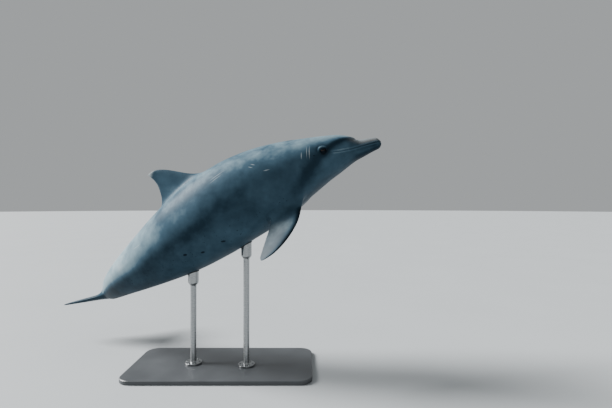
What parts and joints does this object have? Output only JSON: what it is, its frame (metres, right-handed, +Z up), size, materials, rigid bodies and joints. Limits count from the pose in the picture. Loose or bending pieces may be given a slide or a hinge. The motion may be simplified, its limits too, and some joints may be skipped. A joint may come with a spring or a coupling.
{
  "type": "bottlenose dolphin display model",
  "caption": "Life-size bottlenose dolphin banking nose-up with its tail swung to one side, held over a flat display stand by upright rods.",
  "frame": {"origin": "centre of the underside of the stand's base plate", "axes": "+X towards the dolphin's head, +Y towards its left side, +Z up"},
  "size_m": [2.149, 1.1597, 1.3463],
  "materials": {
    "back_skin": "smooth wet grey skin, darker over the back and flanks",
    "belly_skin": "smooth wet pale skin with small dark spots",
    "fin_skin": "smooth wet dark grey skin",
    "eye": "wet dark brown eye",
    "stand_paint": "satin charcoal paint",
    "stand_steel": "brushed steel"
  },
  "bodies": {
    "root": {"upper_jaw": "back_skin", "lower_jaw": "belly_skin", "head": "back_skin", "neck": "back_skin", "chest": "back_skin", "midbody": "back_skin", "hindbody": "back_skin", "tail_stock": "back_skin", "dorsal_fin": "fin_skin", "flipper_left": "fin_skin", "flipper_right": "fin_skin", "fluke_left": "fin_skin", "fluke_right": "fin_skin", "eye_left": "eye", "eye_right": "eye", "stand_base": "stand_paint", "stand_rod_front": "stand_steel", "stand_rod_rear": "stand_steel"}
  },
  "joints": []
}
